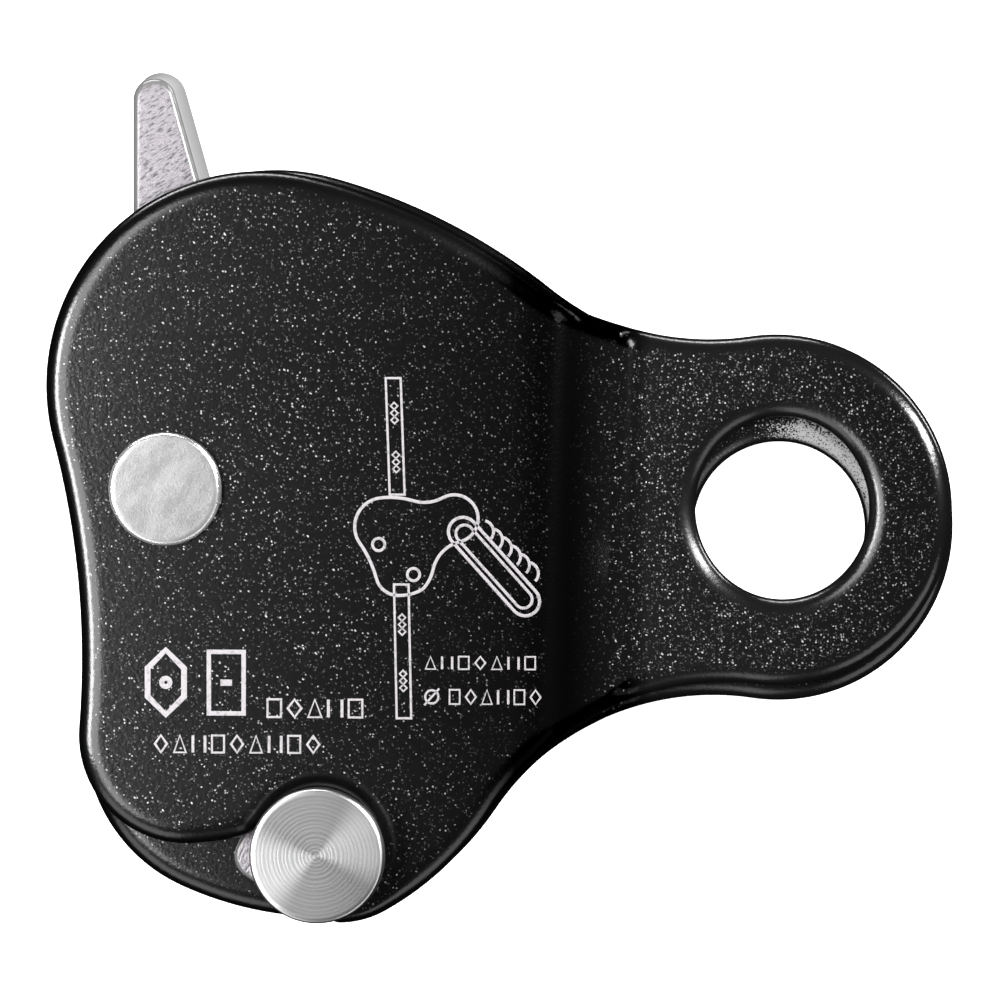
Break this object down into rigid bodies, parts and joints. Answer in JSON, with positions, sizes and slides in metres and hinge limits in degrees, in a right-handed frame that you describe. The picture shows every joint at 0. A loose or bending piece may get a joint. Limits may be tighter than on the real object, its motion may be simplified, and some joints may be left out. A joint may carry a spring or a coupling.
{
  "type": "rope grab",
  "caption": "Mobile rope grab with hinged side plates, a sprung toothed cam with a release lever, a fixed anvil, a push-button plate lock and a carabiner eye.",
  "frame": {"origin": "under the middle of the assembly's box, on the back plate's rear face", "axes": "+X from the cam towards the carabiner eye, +Y towards the cam's lever, +Z out of the front plate, along the cam axle"},
  "size_m": [0.1088, 0.1026, 0.0263],
  "materials": {
    "powder_coat": "black powder coat with fine metallic sparkle, semi-gloss",
    "cast_stainless": "investment cast stainless, tumbled to a fine grain",
    "turned_stainless": "turned, with fine concentric lathe marks",
    "spring_wire": "drawn wire, bright",
    "bearing_bronze": "plain sintered bearing bronze"
  },
  "bodies": {
    "base": {"back_plate": "powder_coat", "cam_axle": "turned_stainless", "axle_rear_washer": "turned_stainless", "rear_thrust_washer": "turned_stainless", "front_thrust_washer": "turned_stainless", "wave_washer": "spring_wire", "torsion_spring": "spring_wire", "cam_stop_pin": "turned_stainless", "anvil": "cast_stainless", "anvil_rivet_lower": "turned_stainless", "anvil_rivet_upper": "turned_stainless", "spring_seat": "turned_stainless", "button_spring": "spring_wire"},
    "gate": {"front_plate": "powder_coat", "plate_bushing": "bearing_bronze"},
    "cam": {"cam_lever": "cast_stainless", "cam_bushing": "bearing_bronze"},
    "button": {"lock_button": "turned_stainless", "lock_collar": "turned_stainless", "button_circlip": "spring_wire"}
  },
  "joints": [
    {"name": "cam_pivot", "type": "hinge", "parent": "base", "child": "cam", "pos_m": [-0.03979, 0.0016, 0.01035], "axis": [0, 0, -1], "range_deg": [0, 40], "stiffness_Nm_per_rad": 0.06, "springref_deg": -57.3},
    {"name": "front_plate_swing", "type": "hinge", "parent": "base", "child": "gate", "pos_m": [-0.03979, 0.0016, 0.0195], "axis": [0, 0, 1], "range_deg": [-1.5, 150]},
    {"name": "button_press", "type": "slide", "parent": "base", "child": "button", "axis": [0, 0, -1], "range_m": [0, 0.0023], "stiffness_N_per_m": 1300, "springref_m": -0.0038, "deforming": ["button_spring"]}
  ]
}
